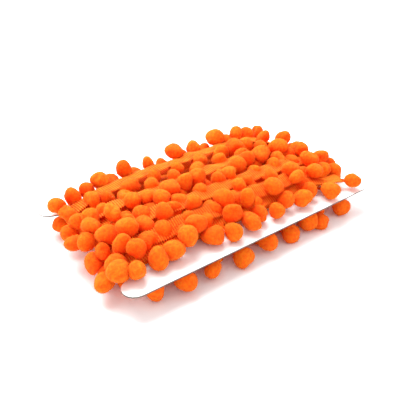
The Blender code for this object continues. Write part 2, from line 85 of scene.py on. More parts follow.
# One row for each turn, from the first, on the near side, to the last.
# left, mid, right: place across the card on its upper face; under: at the middle of its lower face (mm)
# top, below: distance from the card on the two faces (mm); ends: how far it passes outside the notch (mm)
# tilt: tip towards the near side (degrees); side: the edge with the pompoms; lean: how far they stand up
# first: place along the card of the first pompom on the upper face (mm)
winding = {
    "columns": ("left", "mid", "right", "under", "top", "below", "ends", "tilt", "side", "lean", "first"),
    "turns": (
        (-29.0, -30.0, -29.0, -25.0, 3.4, 2.0, 0.8, 8.0, -1, 0.0, -68.0),
        (-21.0, -20.5, -20.0, -16.0, 1.2, 2.0, 0.9, 0.0, -1, 20.0, -61.0),
        (-11.0, -9.0, -10.0, -6.0, 4.2, 2.0, 1.0, 8.0, -1, 40.0, -55.0),
        (-2.0, 0.5, -1.0, 4.0, 1.6, 2.1, 1.0, 0.0, -1, 25.0, -64.0),
        (8.0, 11.0, 9.0, 13.0, 4.4, 2.2, 1.1, 8.0, -1, 45.0, -58.0),
        (17.0, 24.0, 20.0, 22.0, 3.6, 2.3, 1.2, 6.0, -1, 50.0, -66.0),
        (26.0, 31.0, 28.0, 31.0, 2.2, 5.0, 1.4, 0.0, 1, 5.0, -60.0),
        (27.5, 29.0, 27.0, 24.0, 12.6, 7.5, 3.2, -3.0, 1, 8.0, -51.0),
        (26.0, 31.5, 26.0, 15.0, 7.6, 8.0, 3.0, 6.0, -1, 40.0, -60.0),
        (14.0, 8.0, 7.5, 4.0, 13.0, 8.5, 3.4, -4.0, -1, 20.0, -62.0),
        (5.0, 7.0, 3.0, -6.0, 7.9, 13.9, 3.0, 6.0, -1, 34.0, -52.0),
        (-4.0, -13.5, -12.0, -16.0, 13.0, 8.5, 3.4, 12.0, -1, 14.0, -61.0),
        (-13.0, -15.5, -17.5, -27.0, 7.9, 7.5, 3.0, 14.0, -1, 20.0, -53.0),
        (-22.0, -28.0, -23.0, -37.5, 11.4, 6.0, 3.2, 30.0, -1, -8.0, -64.0),
        (-29.0, -31.5, -29.5, -38.0, 7.0, 6.0, 2.6, 26.0, -1, -26.0, -57.0),
    ),
    "looseEnd": (  # along, across and up from the card's middle, from the winding to the tip (mm)
        (50.0, -32.5, 7.5),
        (58.0, -37.0, 7.2),
        (66.0, -38.3, 6.6),
        (72.0, -38.8, 5.6),
    ),
    "innerTurns": 7,  # the turns that lie on the card, under the others
    "raisedTurns": (7, 9, 11, 13),  # lie highest, each over or beside a lower one
    "lastStretch": 0.46,  # share of the last turn that is left when the trim ends
    "lastKept": 0.2,  # share of it that keeps to the winding in any case
    "loopPower": 3.0,  # squareness of a turn seen from the side
    "controls": 4,  # places in each turn where the table sets the path
    "fineSteps": 2000,
    "spacing": 2.0 * mm,
    "pathStep": 0.002,  # turns, half the stretch that gives the path's direction
    "tiltRise": 3.0 * mm,  # height over which a run takes its tilt
    "upperRun": (0.02, 0.48),  # shares of a turn between which it lies on the upper face
}

poms = {
    "radius": 5.15 * mm,
    "pitch": 17.6 * mm,
    "stalk": 1.6 * mm,  # loose loop between the tape's edge and the pompom
    "innerRoot": (0.97, 0.96, 0.9),  # draws the inner roots towards the card's middle
    "rootDepth": 2.0 * mm,  # of the root from the tape's edge
    "rootSink": 0.8 * mm,  # and below its middle
    "leanSpread": 16.0,  # degrees, either way
    "underLean": 8.0,  # degrees, on the lower face
    "swing": 1.6 * mm,  # along the tape, either way
    "room": 0.1 * mm,  # left between two of them
    "floorShare": 0.9,  # height of the lowest middles, in radii
    "heap": 14.2 * mm,  # height of the highest middles over the card
    "lastRoot": (-1.5, -2.0, 0.0),  # from the loose tip (mm)
    "lastPom": (3.4, -8.3, 0.0),
    "tapeShares": (-0.42, 0.0, 0.42),  # lines of the tape that push them, in widths
    "rounds": 90,
    "pomPush": 0.6,  # share of what is missing that each round makes up
    "tapePush": 0.5,
    "leastGap": 1e-6,
    "shortLeash": 0.7,  # nearest to its root, in radii
    "buried": 0.6 * mm,  # one this deep in the winding doesn't show
    "beside": 3.5 * mm,  # one this far beside it does
    "swell": 1.12,  # room that one takes over the card, in radii
    "seed": 11,
    "crowdFrom": (4.0 * mm, 12.0 * mm),  # beside a raised run, the pompoms this far from its middle
    "crowdIn": 1.4 * mm,  # lean in over it this far
    "crowdUp": 0.6,  # and come up by this share of what they lie below it
    "crowdMost": 3.0 * mm,
    "squeezed": (  # pompoms squeezed out at the ends and between the runs, from the card's middle (mm)
        (-77.0, 29.0, 5.0),
        (-76.0, 16.0, 5.0),
        (-82.0, -2.0, 5.0),
        (-84.0, -14.0, 1.0),
        (-87.0, -27.0, -3.0),
        (-82.5, -35.5, 5.5),
        (-61.0, 26.0, 9.0),
        (-41.0, 1.0, 14.0),
        (41.0, 20.0, 12.5),
        (74.0, -2.0, 9.0),
        (73.0, 14.0, 8.0),
        (80.0, 9.0, 4.0),
        (-12.5, 4.5, 6.0),
        (66.3, -47.7, -8.8),
        (45.2, -49.0, -8.8),
    ),
    "looseRoom": 0.65,  # from the loose end's edge to a middle beside it, in radii
    "looseNear": 1.8 * mm,  # more room on its near side
    "looseBack": 6.2 * mm,  # and how far back along it a pompom lies there
    "spreadRounds": 30,
    "spreadRoom": 0.82,  # nearest two middles may be, in diameters
}
poms["longLeash"] = poms["radius"] + 2 * poms["stalk"]


def turnValues(name):
    column = winding["columns"].index(name)
    return np.array([row[column] for row in winding["turns"]], float)


def smoothThrough(places, values, at):
    # Values at the given places, on a smooth curve (monotone cubic) through the known ones.
    span = np.diff(places)
    rise = np.diff(values) / span
    slope = np.zeros(len(values))
    same = rise[:-1] * rise[1:] > 0
    slope[1:-1][same] = 2 * rise[:-1][same] * rise[1:][same] / (rise[:-1][same] + rise[1:][same])
    slope[0], slope[-1] = rise[0], rise[-1]
    k = np.clip(np.searchsorted(places, at, side="right") - 1, 0, len(span) - 1)
    u = (at - places[k]) / span[k]
    u = np.clip(u, 0, 1)
    h00 = 2 * u**3 - 3 * u**2 + 1
    h10 = u**3 - 2 * u**2 + u
    h01 = -2 * u**3 + 3 * u**2
    h11 = u**3 - u**2
    return h00 * values[k] + h10 * span[k] * slope[k] + h01 * values[k + 1] + h11 * span[k] * slope[k + 1]


def centreAt(t):
    # Middle of the tape at t turns: a squared loop round the card that drifts across it.
    turns = np.arange(len(winding["turns"]), dtype=float)
    quarter = 1 / winding["controls"]
    places = np.stack([turns + quarter * i for i in range(winding["controls"])], 1).ravel()
    acrossRows = np.stack([turnValues(n) for n in ("left", "mid", "right", "under")], 1)
    across = smoothThrough(places, acrossRows.ravel(), t) * mm
    highRows = np.stack([turnValues("top"), turnValues("below")], 1).ravel()
    highPlaces = np.stack([turns + quarter, turns + 3 * quarter], 1).ravel()
    height = smoothThrough(highPlaces, highRows, t) * mm + card["thick"] / 2
    reach = smoothThrough(turns, turnValues("ends"), t) * mm
    angle = math.pi - 2 * math.pi * t
    cos, sin = np.cos(angle), np.sin(angle)
    half = card["length"] / 2 - card["notchDepth"] + reach
    x = half * np.sign(cos) * np.abs(cos) ** (2 / winding["loopPower"])
    z = height * np.sign(sin) * np.abs(sin) ** (2 / winding["loopPower"])
    return np.stack([x, across, z], 1)


def unit(ways):
    return ways / np.linalg.norm(ways, axis=-1, keepdims=True)


def pathAt(t):
    # Middle of the tape, its way across to the far side, its outward direction and its way along.
    centre = centreAt(t)
    along = unit(centreAt(t + winding["pathStep"]) - centreAt(t - winding["pathStep"]))
    turns = np.arange(len(winding["turns"]), dtype=float)
    highPlaces = np.stack([turns + 1 / winding["controls"], turns + 3 / winding["controls"]], 1).ravel()
    tiltRows = np.stack([turnValues("tilt"), 0 * turns], 1).ravel()
    tilt = np.radians(smoothThrough(highPlaces, tiltRows, t))
    flat = unit(along * np.array([1, 0, 1]))
    outward = np.stack([-flat[:, 2], 0 * t, flat[:, 0]], 1)
    acrossWay = unit(np.cross(outward, along))
    tilt = (tilt * np.clip(centre[:, 2] / winding["tiltRise"], 0, 1))[:, None]
    farWay = np.cos(tilt) * acrossWay + np.sin(tilt) * outward
    facing = unit(np.cross(along, farWay))
    return centre, farWay, facing, along


def wholePath():
    # The whole tape at even steps of its length.
    fine = np.arange(0, len(winding["turns"]) - 1 + winding["lastStretch"], 1 / winding["fineSteps"])
    steps = np.linalg.norm(np.diff(centreAt(fine), axis=0), axis=1)
    measured = np.concatenate([[0], np.cumsum(steps)])
    length = np.arange(0, measured[-1], winding["spacing"])
    t = np.interp(length, measured, fine)
    return t, *pathAt(t), length


def pomPlaces(path):
    # Root of each pompom on the tape's edge, and its middle before the winding settles.
    t, centre, farWay, facing, along, length = path
    starts = []
    for turn, first in enumerate(turnValues("first") * mm):
        upper = (t >= turn + winding["upperRun"][0]) & (t <= turn + winding["upperRun"][1])
        starts.append(np.interp(first, centre[upper, 0], length[upper]))
    starts.append(length[-1])
    spots, turnOf = [], []
    for turn in range(len(winding["turns"])):
        count = round((starts[turn + 1] - starts[turn]) / poms["pitch"])
        spots.append(np.linspace(starts[turn], starts[turn + 1], count, endpoint=False))
        turnOf.append(np.full(count, turn))
    turnOf = np.concatenate(turnOf)
    k = np.searchsorted(length, np.concatenate(spots))
    chance = np.random.default_rng(poms["seed"]).uniform(-1, 1, (len(k), 2))
    lean = np.where(centre[k, 2] < 0, poms["underLean"], turnValues("lean")[turnOf])
    rise = np.radians(lean + poms["leanSpread"] * chance[:, 0])[:, None]
    way = turnValues("side")[turnOf][:, None] * farWay[k]
    push = np.cos(rise) * way + np.sin(rise) * facing[k]
    edge = centre[k] + way * tape["width"] / 2
    roots = edge - way * poms["rootDepth"] - facing[k] * poms["rootSink"]
    middles = edge + push * (poms["stalk"] + poms["radius"]) + poms["swing"] * chance[:, 1:] * along[k]
    inner = turnOf < winding["innerTurns"]
    roots[inner] = roots[inner] * np.array(poms["innerRoot"])
    tip = np.array(winding["looseEnd"][-1]) * mm
    roots = np.vstack([roots, tip + np.array(poms["lastRoot"]) * mm])
    middles = np.vstack([middles, tip + np.array(poms["lastPom"]) * mm])
    return roots, middles


def cardBoxes():
    # Lowest and highest corner of the card between its notches, and of each of its four ears.
    notchX = card["length"] / 2 - card["notchDepth"]
    high = np.array([notchX, card["width"] / 2, card["thick"] / 2])
    boxes = [(-high, high)]
    for end in (-1, 1):
        for side in (-1, 1):
            x = sorted((end * notchX, end * card["length"] / 2))
            y = sorted((side * card["notchHalf"], side * card["width"] / 2))
            low = np.array([x[0], y[0], -card["thick"] / 2])
            boxes.append((low, np.array([x[1], y[1], card["thick"] / 2])))
    return boxes


def keepOffBox(points, low, high, room):
    # Moves each point out of the box until it is at least room from it.
    nearest = np.clip(points, low, high)
    away = points - nearest
    inside = np.linalg.norm(away, axis=1) < hair
    away[inside] = np.where(points[inside, 2:3] >= 0, 1, -1) * np.array([0, 0, hair])
    distance = np.linalg.norm(away, axis=1)
    short = distance < room
    points[short] = nearest[short] + away[short] * (room / distance[short])[:, None]
    return points


def pressApart(points, apart):
    # Push on each point: half of what keeps it nearer than apart to each other one, away from it.
    between = points[:, None] - points[None]
    distance = np.linalg.norm(between, axis=2)
    np.fill_diagonal(distance, 1)
    press = np.clip(apart - distance, 0, None) / 2
    return (between / distance[..., None] * press[..., None]).sum(1)


def settle(roots, middles, tapePoints):
    # Lets the pompoms push each other, the tape and the card away until each has its own room.
    points = middles.copy()
    floor = -(card["rise"] + card["thick"] / 2) + poms["floorShare"] * poms["radius"]
    ceiling = card["thick"] / 2 + poms["heap"]
    for _ in range(poms["rounds"]):
        points += poms["pomPush"] * pressApart(points, 2 * poms["radius"] + poms["room"])
        between = points[:, None] - tapePoints[None]
        distance = np.linalg.norm(between, axis=2)
        nearest = np.argmin(distance, axis=1)
        every = np.arange(len(points))
        gap = distance[every, nearest]
        press = np.clip(poms["radius"] + poms["room"] - gap, 0, None) / np.maximum(gap, poms["leastGap"])
        points += poms["tapePush"] * between[every, nearest] * press[:, None]
        leash = points - roots
        far = np.linalg.norm(leash, axis=1)
        held = np.clip(far, poms["shortLeash"] * poms["radius"], poms["longLeash"] + poms["rootDepth"])
        points = roots + leash * (held / far)[:, None]
        for low, high in cardBoxes():
            points = keepOffBox(points, low, high, poms["swell"] * poms["radius"] + card["gap"])
        points[:, 2] = np.clip(points[:, 2], floor, ceiling)
    return points


def tapeLines(path):
    # Points along the tape's middle and near its two edges, at every other step.
    centre, farWay = path[1][::2], path[2][::2]
    return np.concatenate([centre + farWay * tape["width"] * share for share in poms["tapeShares"]])


def besideLooseEnd(points):
    # The pompoms on the card's upper face that the loose end would cut lie beside it.
    rows = np.array(winding["looseEnd"]) * mm
    line = np.interp(points[:, 0], rows[:, 0], rows[:, 1])
    along = (points[:, 0] > rows[1, 0]) & (points[:, 0] < rows[-1, 0] + poms["radius"]) & (points[:, 2] > 0)
    room = tape["width"] / 2 + poms["looseRoom"] * poms["radius"]
    near = along & (points[:, 1] <= line) & (points[:, 1] > line - room)
    far = along & (points[:, 1] > line) & (points[:, 1] < line + room)
    points[near, 1] = (line - room)[near] - poms["looseNear"]
    points[near, 0] -= poms["looseBack"]
    points[far, 1] = (line + room)[far]
    return points


def crowd(roots, points, path):
    # The pompoms beside the raised runs lean in over them, those squeezed out are added, and all but
    # the last one, which hangs from the loose end, keep off each other and that end.
    t, centre, farWay, facing = path[:4]
    onRun = (t % 1 > winding["upperRun"][0]) & (t % 1 < winding["upperRun"][1])
    run = centre[onRun & np.isin(np.floor(t), winding["raisedTurns"])]
    between = run[None] - points[:, None]
    aside = np.linalg.norm(between[..., :2], axis=2)
    nearest = np.argmin(aside, axis=1)
    every = np.arange(len(points))
    gap = aside[every, nearest]
    way = between[every, nearest]
    beside = (gap > poms["crowdFrom"][0]) & (gap < poms["crowdFrom"][1]) & (points[:, 2] > 0)
    points = points.copy()
    points[beside, :2] += poms["crowdIn"] * way[beside, :2] / gap[beside, None]
    points[beside, 2] += np.clip(poms["crowdUp"] * way[beside, 2], 0, poms["crowdMost"])
    added = np.array(poms["squeezed"]) * mm
    edge = centre - farWay * (tape["width"] / 2 - poms["rootDepth"]) - facing * poms["rootSink"]
    nearest = np.argmin(np.linalg.norm(edge[None] - added[:, None], axis=2), axis=1)
    roots = np.vstack([roots[:-1], edge[nearest], roots[-1:]])
    points = np.vstack([points[:-1], added, points[-1:]])
    points[:-1] = besideLooseEnd(points[:-1])
    for _ in range(poms["spreadRounds"]):
        push = pressApart(points, 2 * poms["radius"] * poms["spreadRoom"])
        points[:-1] += poms["tapePush"] * push[:-1]
    for low, high in cardBoxes():
        points = keepOffBox(points, low, high, poms["swell"] * poms["radius"])
    return roots, points


def shown(points):
    # Which pompoms reach out of the lower ones of the outer turns, and so show.
    reach = card["length"] / 2 - card["notchDepth"] + turnValues("ends")[winding["innerTurns"]:].mean() * mm
    share = np.clip(np.abs(points[:, 0]) / reach, 0, 1)
    squared = (1 - share**winding["loopPower"]) ** (1 / winding["loopPower"])
    outerTurns = range(winding["innerTurns"], len(winding["turns"]))
    upperTurns = [turn for turn in outerTurns if turn not in winding["raisedTurns"]]
    lowerTurns = [turn - 1 for turn in outerTurns]
    shows = np.zeros(len(points), bool)
    for face, turns, across, height in ((1, upperTurns, "mid", "top"), (-1, lowerTurns, "under", "below")):
        places = turnValues(across)[turns] * mm
        heights = turnValues(height)[turns] * mm
        order = np.argsort(places)
        level = squared * np.interp(points[:, 1], places[order], heights[order])
        nearer = points[:, 1] < places.min() - poms["beside"]
        farther = points[:, 1] > places.max() + poms["beside"]
        out = nearer | farther | (face * points[:, 2] > level - poms["buried"])
        shows |= out & (face * points[:, 2] > 0)
    return shows


def meshPiece(name, points, faces, slotMaterial):
    # A finished mesh object at the origin, with its place in its mesh.
    mesh = bpy.data.meshes.new(name)
    mesh.from_pydata((points + cardMiddle).tolist(), [], faces)
    mesh.polygons.foreach_set("use_smooth", np.full(len(mesh.polygons), True))
    mesh.materials.append(slotMaterial)
    mesh.update()
    piece = bpy.data.objects.new(name, mesh)
    bpy.context.scene.collection.objects.link(piece)
    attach(piece, "root")
    return piece


def giveAttribute(piece, name, values):
    layer = piece.data.attributes.new(name, "FLOAT", "POINT")
    layer.data.foreach_set("value", np.ascontiguousarray(values, np.float32).ravel())


def tubeFaces(rings, sides):
    # Quads between each ring of points and the next one; the points run ring by ring.
    ring = np.arange(rings - 1)[:, None] * sides
    side = np.arange(sides)[None]
    after = (side + 1) % sides
    quads = np.stack([ring + side, ring + after, ring + sides + after, ring + sides + side], 2)
    return quads.reshape(-1, 4)


def tapeRun():
    # The tape's middle line, its way to the far side and its turns at fine even steps: the winding,
    # then a smooth curve through the points of the loose end.
    last = len(winding["turns"]) - 1
    fine = np.arange(0, last + winding["lastStretch"], 1 / winding["fineSteps"])
    centre, farWay = pathAt(fine)[:2]
    rows = np.array(winding["looseEnd"]) * mm
    wound = (fine < last + winding["lastKept"]) | (centre[:, 0] < rows[0, 0] - tape["leaveBefore"])
    fine, centre, farWay = fine[wound], centre[wound], farWay[wound]
    stops = np.vstack([centre[-1], rows])
    chord = np.concatenate([[0], np.cumsum(np.linalg.norm(np.diff(stops, axis=0), axis=1))])
    step = np.linalg.norm(centre[-1] - centre[-2])
    at = np.arange(step, chord[-1], step)
    end = np.stack([smoothThrough(chord, stops[:, i], at) for i in range(3)], 1)
    endAlong = unit(np.gradient(end, axis=0))
    level = unit(np.cross(np.array([0, 0, 1.0]), endAlong))
    share = np.clip(at / chord[2], 0, 1)[:, None]
    endWay = unit(farWay[-1] * (1 - share) + level * share)
    turns = np.concatenate([fine, np.full(len(at), fine[-1])])
    return turns, np.vstack([centre, end]), np.vstack([farWay, endWay])


def waves(length, rows):
    # Sum of sines along the tape: size * sin(2 pi * length / wavelength + phase).
    return sum(size * np.sin(2 * math.pi * length / (wavelength * mm) + phase)
               for wavelength, size, phase in rows)


def nearestPom(points, middles):
    # Distance from each point of the tape to the nearest pompom's middle, one line of points at a time.
    lines = points.transpose(1, 0, 2)
    return np.stack([np.linalg.norm(line[:, None] - middles, axis=2).min(1) for line in lines], 1)


def tapeMesh(middles):
    # A flat closed profile carried along the tape. Its half width and its thickness follow
    # cos(2 pi * length / rib pitch), so that each rib stands up and ends in a small picot.
    turns, centre, farWay = tapeRun()
    measured = np.concatenate([[0], np.cumsum(np.linalg.norm(np.diff(centre, axis=0), axis=1))])
    fineStart = np.interp(tape["fineFrom"], turns[turns < turns[-1]], measured[turns < turns[-1]])
    fineStart = round(fineStart / tape["ribPitch"]) * tape["ribPitch"]
    coarse = np.arange(0, fineStart - tape["coarseStep"] / 2, tape["coarseStep"])
    fine = np.arange(fineStart, measured[-1], tape["ribPitch"] / tape["ribSamples"])
    length = np.concatenate([coarse, fine])
    ribbed = np.concatenate([np.zeros(len(coarse)), np.ones(len(fine))])
    line = np.stack([np.interp(length, measured, centre[:, i]) for i in range(3)], 1)
    way = unit(np.stack([np.interp(length, measured, farWay[:, i]) for i in range(3)], 1))
    along = unit(np.gradient(line, axis=0))
    facing = unit(np.cross(along, way))
    free = ribbed * np.clip((length - fineStart) / tape["freeAfter"], 0, 1)
    turn = (np.radians(waves(length, tape["twist"])) * free)[:, None]
    way, facing = np.cos(turn) * way + np.sin(turn) * facing, np.cos(turn) * facing - np.sin(turn) * way
    line = line + (waves(length, tape["wobble"]) * mm * free)[:, None] * way
    line = line + (waves(length, tape["lift"]) * mm * free)[:, None] * facing
    lowest = tape["thick"] * tape["overFloor"] - card["rise"] - card["thick"] / 2
    line[:, 2] = np.maximum(line[:, 2], lowest)
    rib = np.cos(2 * math.pi * length / tape["ribPitch"]) * ribbed
    inner = np.array(tape["profile"])
    edge = 1 - (1 - tape["edgeThick"]) * (np.abs(inner) > tape["edgeFrom"])
    across = np.concatenate([[-1], inner, [1], inner[::-1]])
    up = np.concatenate([[0], -edge, [0], edge[::-1]])
    halfWide = tape["width"] / 2 * (1 + tape["picot"] * rib)
    halfThick = tape["thick"] / 2 * (1 - tape["ribGroove"] * (1 - rib) / 2 * ribbed)
    points = (line[:, None]
              + (halfWide[:, None] * across[None])[..., None] * way[:, None]
              + (halfThick[:, None] * up[None])[..., None] * facing[:, None])
    sides = len(across)
    quads = tubeFaces(len(length), sides).tolist()
    caps = [list(range(sides))[::-1], list(range((len(length) - 1) * sides, len(length) * sides))]
    piece = meshPiece("trimTape", onGround(points).reshape(-1, 3), quads + caps, tapeYarn)
    giveAttribute(piece, "ribNumber", np.repeat(length / tape["ribPitch"], sides))
    giveAttribute(piece, "across", np.tile(across, len(length)))
    # Painted shade: the tape's colour deepens to red near each pompom, where shade falls.
    past = nearestPom(points, middles) - poms["radius"]
    giveAttribute(piece, "paintedShade", np.clip(1 - past / tape["shadeReach"], 0, 1))
    return piece, measured[-1]


ball = {
    "radius": 5.35 * mm,
    "cage": 4,  # faces along each side of the cube that a shown pompom is made from
    "innerCage": 3,
    "cageSwell": 1.045,  # makes up for what Subdivision Surface takes off the cage
    "oval": 0.17,
    "lump": 0.3,
    "lumps": 4,
    "lumpWaves": (1.6, 3.6),  # lowest and highest waves of the lumps, radians
    "dent": 0.1,
    "dents": 5,
    "dentWaves": (4.2, 6.4),
    "cleft": 0.55,  # deepest cleft, in radii
    "cleftWidth": 0.24,
    "cleftShift": 0.35,  # from the middle, either way
    "pull": 0.4,  # how far the stalk draws a pompom out, in radii
    "sizes": (0.84, 1.05),
    "neighbours": 12,
    "between": 0.05 * mm,  # left between two pompoms that press each other
    "shadeReach": 2.5,  # how far a neighbour's painted shade reaches on a pompom, in radii
    "shadeFade": 0.5,
    "seed": 5,
}


def ballCage(count):
    # Unit ball: points of an even grid on a cube's six sides, each over its distance from the middle.
    line = np.tan(np.linspace(-1, 1, count + 1) * math.pi / 4)
    a, b = (grid.ravel() for grid in np.meshgrid(line, line, indexing="ij"))
    one = np.ones_like(a)
    sides = ((one, a, b), (-one, b, a), (b, one, a), (a, -one, b), (a, b, one), (b, a, -one))
    points = np.concatenate([np.stack(side, 1) for side in sides])
    corner = np.arange(count * (count + 1)).reshape(count, count + 1)[:, :-1].ravel()
    cell = np.stack([corner, corner + count + 1, corner + count + 2, corner + 1], 1)
    faces = np.concatenate([cell + k * (count + 1) ** 2 for k in range(6)])
    kept, which = np.unique(np.round(points, 6), axis=0, return_inverse=True)
    return unit(kept), which.ravel()[faces]


def ballChances(roots, middles):
    # What makes each pompom its own: its turn, oval, lumps, clefts and pull, all from one seed.
    rng = np.random.default_rng(ball["seed"])
    count = len(middles)
    turn = np.linalg.qr(rng.normal(size=(count, 3, 3)))[0]
    turn[:, :, 0] *= np.sign(np.linalg.det(turn))[:, None]
    ways = unit(rng.normal(size=(count, ball["lumps"], 3)))
    dentWays = unit(rng.normal(size=(count, ball["dents"], 3)))
    return {
        "turn": turn,
        "oval": 1 + ball["oval"] * rng.uniform(-1, 1, (count, 1, 3)),
        "waves": ways * rng.uniform(*ball["lumpWaves"], (count, ball["lumps"], 1)),
        "phase": rng.uniform(0, 2 * math.pi, (count, 1, ball["lumps"])),
        "dents": dentWays * rng.uniform(*ball["dentWaves"], (count, ball["dents"], 1)),
        "dentPhase": rng.uniform(0, 2 * math.pi, (count, 1, ball["dents"])),
        "cleftWay": np.linalg.qr(rng.normal(size=(count, 3, 3)))[0],
        "cleftAt": rng.uniform(-ball["cleftShift"], ball["cleftShift"], (count, 1)),
        "cleftDeep": ball["cleft"] * rng.uniform(0, 1, (count, 1)),
        "size": rng.uniform(*ball["sizes"], (count, 1, 1)),
        "tint": rng.uniform(0, 1, count),
        "pull": ball["pull"] * rng.uniform(0, 1, (count, 1)),
        "rootWay": unit(roots - middles),
    }


def neighboursOf(points):
    # Ways to the nearest pompoms of each one, and how far they are.
    between = points[None] - points[:, None]
    distance = np.linalg.norm(between, axis=2)
    np.fill_diagonal(distance, 1)
    order = np.argsort(distance, axis=1)[:, : ball["neighbours"]]
    far = np.take_along_axis(distance, order, 1)
    return np.take_along_axis(between, order[..., None], 1) / far[..., None], far


def ballSurface(ways, chance, near):
    # Radius = size * oval * (1 + lumps + dents - cleft + pull towards its root); then what reaches
    # past the plane half way to a neighbour is pressed back to it.
    lumps = np.sin(np.einsum("kvc,kwc->kvw", ways, chance["waves"]) + chance["phase"]).mean(2)
    dents = np.sin(np.einsum("kvc,kwc->kvw", ways, chance["dents"]) + chance["dentPhase"]).mean(2)
    aside = np.einsum("kvc,kc->kv", ways, chance["cleftWay"][:, 0]) - chance["cleftAt"]
    facing = np.clip(np.einsum("kvc,kc->kv", ways, chance["cleftWay"][:, 1]), 0, 1)
    cleft = chance["cleftDeep"] * np.exp(-((aside / ball["cleftWidth"]) ** 2)) * facing
    drawn = chance["pull"] * np.clip(np.einsum("kvc,kc->kv", ways, chance["rootWay"]), 0, 1) ** 3
    radius = ball["radius"] * (1 + ball["lump"] * lumps + ball["dent"] * dents - cleft + drawn)
    points = ways * chance["oval"] * chance["size"] * radius[..., None]
    nearWays, nearFar = near
    for k in range(nearWays.shape[1]):
        way = nearWays[:, k]
        past = np.einsum("kvc,kc->kv", points, way) - (nearFar[:, k, None] - ball["between"]) / 2
        points = points - np.clip(past, 0, None)[..., None] * way[:, None]
    return points


def someOf(chance, near, pick):
    # The picked pompoms' chances and neighbours.
    return {name: values[pick] for name, values in chance.items()}, tuple(part[pick] for part in near)


def onGround(points):
    # Nothing reaches below the surface that the card's winding lies on.
    points[..., 2] = np.maximum(points[..., 2], -(card["rise"] + card["thick"] / 2))
    return points


def ballPiece(name, middles, chance, near, cage):
    # Shaped balls in one mesh, each a coarse cage that Subdivision Surface rounds, with an attribute for
    # the painted shade where close neighbours crowd the yarn.
    ways, faces = ballCage(cage)
    turned = np.einsum("vc,kdc->kvd", ways, chance["turn"])
    points = ballSurface(turned, chance, near) * ball["cageSwell"] + middles[:, None]
    points = onGround(points)
    count = len(middles)
    faces = (faces[None] + np.arange(count)[:, None, None] * len(ways)).reshape(-1, 4)
    piece = meshPiece(name, points.reshape(-1, 3), faces.tolist(), pomYarn)
    nearWays, nearFar = near
    # Painted shade: deep red on the sides that face close neighbours.
    reach = np.clip((ball["shadeReach"] - nearFar / ball["radius"]) / ball["shadeFade"], 0, 1)
    toward = np.clip(np.einsum("kvc,knc->kvn", turned, nearWays), 0, 1) ** 2
    paintedShade = np.clip((toward * reach[:, None]).sum(2), 0, 1)
    giveAttribute(piece, "paintedShade", paintedShade)
    giveAttribute(piece, "tint", np.repeat(chance["tint"], len(ways)))
    rounder = piece.modifiers.new("rounder", "SUBSURF")
    rounder.levels = rounder.render_levels = 1
    return piece


nap = {
    "fibres": 190,  # on each pompom
    "long": (0.3, 0.95),  # mm
    "thick": 0.1 * mm,
    "lean": 0.6,
    "sink": 0.2 * mm,
    "seed": 23,
}


def napPiece(name, middles, chance, near):
    # Fine three-sided spikes that stand out of the pompoms at random: a base of three points
    # round the fibre's foot and a tip at foot + length * (way out + lean * a random way).
    rng = np.random.default_rng(nap["seed"])
    count = len(middles)
    ways = unit(rng.normal(size=(count, nap["fibres"], 3)))
    foot = ballSurface(ways, chance, near) + middles[:, None] - nap["sink"] * ways
    out = unit(ways + nap["lean"] * rng.normal(size=ways.shape) / math.sqrt(3))
    tip = foot + out * (rng.uniform(*nap["long"], (count, nap["fibres"], 1)) * mm + nap["sink"])
    side = unit(np.cross(out, rng.normal(size=ways.shape)))
    other = np.cross(out, side)
    corners = [foot + nap["thick"] * (math.cos(a) * side + math.sin(a) * other)
               for a in (0, 2 * math.pi / 3, 4 * math.pi / 3)]
    points = onGround(np.stack([*corners, tip], 2))
    first = np.arange(count * nap["fibres"])[:, None] * 4
    faces = np.concatenate([first + np.array(f) for f in ((0, 1, 3), (1, 2, 3), (2, 0, 3), (2, 1, 0))])
    return meshPiece(name, points.reshape(-1, 3), faces.tolist(), napYarn)


loops = {
    "strands": 3,
    "thick": 0.34 * mm,  # radius of a strand
    "sides": 5,
    "stations": (0.0, 0.03, 0.25, 0.5, 0.75, 0.97, 1.0),
    "spread": 0.55 * mm,
    "twist": 2.2,  # radians from the tape to the pompom
    "sag": 0.5 * mm,
    "endThick": 0.2,  # of a strand's two ends, as a share of the rest
    "offUpright": 1e-3,  # keeps the way across an upright loop defined
}


def stalkPiece(name, roots, middles):
    # Three strands from the tape to the middle of each pompom, twisted round their common line:
    # middle line + spread * (cos, sin)(strand + twist * place), each a thin closed tube.
    at = np.array(loops["stations"])
    line = roots[:, None] + (middles - roots)[:, None] * at[None, :, None]
    line[..., 2] -= loops["sag"] * np.sin(math.pi * at)
    way = unit(middles - roots)
    side = unit(np.cross(way, np.array([0, 0, 1.0]) + loops["offUpright"]))
    other = np.cross(way, side)
    strand = 2 * math.pi * np.arange(loops["strands"]) / loops["strands"]
    turn = strand[:, None] + loops["twist"] * at[None]
    shift = (np.cos(turn)[None, ..., None] * side[:, None, None]
             + np.sin(turn)[None, ..., None] * other[:, None, None])
    centre = line[:, None] + loops["spread"] * shift
    around = 2 * math.pi * np.arange(loops["sides"]) / loops["sides"]
    thick = loops["thick"] * np.where((at == 0) | (at == 1), loops["endThick"], 1.0)
    ring = (np.cos(around)[:, None] * side[:, None, None, None]
            + np.sin(around)[:, None] * other[:, None, None, None])
    points = onGround(centre[..., None, :] + thick[None, None, :, None, None] * ring)
    tubes = len(roots) * loops["strands"]
    stations, sides = len(at), loops["sides"]
    quads = tubeFaces(stations, sides)[None] + np.arange(tubes)[:, None, None] * stations * sides
    first = np.arange(tubes)[:, None] * stations * sides + np.arange(sides)
    caps = [*first[:, ::-1].tolist(), *(first + (stations - 1) * sides).tolist()]
    return meshPiece(name, points.reshape(-1, 3), quads.reshape(-1, 4).tolist() + caps, stalkYarn)


